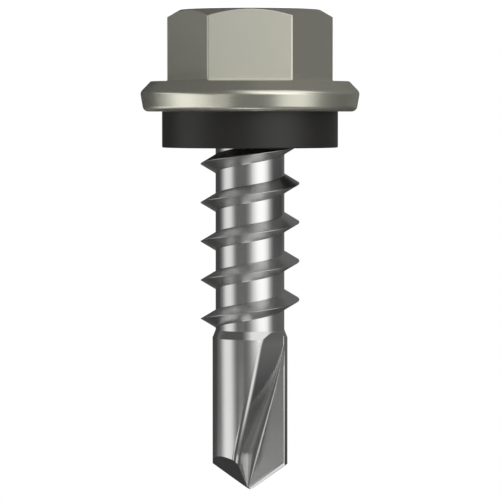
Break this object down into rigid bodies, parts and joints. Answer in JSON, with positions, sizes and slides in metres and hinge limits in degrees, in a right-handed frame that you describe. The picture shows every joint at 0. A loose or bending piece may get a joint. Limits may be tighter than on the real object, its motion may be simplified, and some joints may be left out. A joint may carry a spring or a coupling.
{
  "type": "self drilling screw",
  "caption": "Self drilling screw with a flanged hexagon head, a rubber sealing washer, a coarse right-hand thread and a fluted drill point",
  "frame": {"origin": "centre of the head's flat top face, which the screw stands on", "axes": "+Z runs along the shank from the head to the drill tip; -Y is the side with the hexagon flat and the flute seen in the picture"},
  "size_m": [0.0122, 0.0122, 0.0268],
  "materials": {
    "zinc_plated_steel": "bright zinc plate, fine turning marks around the shank",
    "head_paint": "satin grey-green baked paint over the hexagon and flange",
    "washer_rubber": "matt black moulded rubber"
  },
  "bodies": {
    "root": {"screw": "zinc_plated_steel", "sealing_washer": "washer_rubber"}
  },
  "joints": []
}
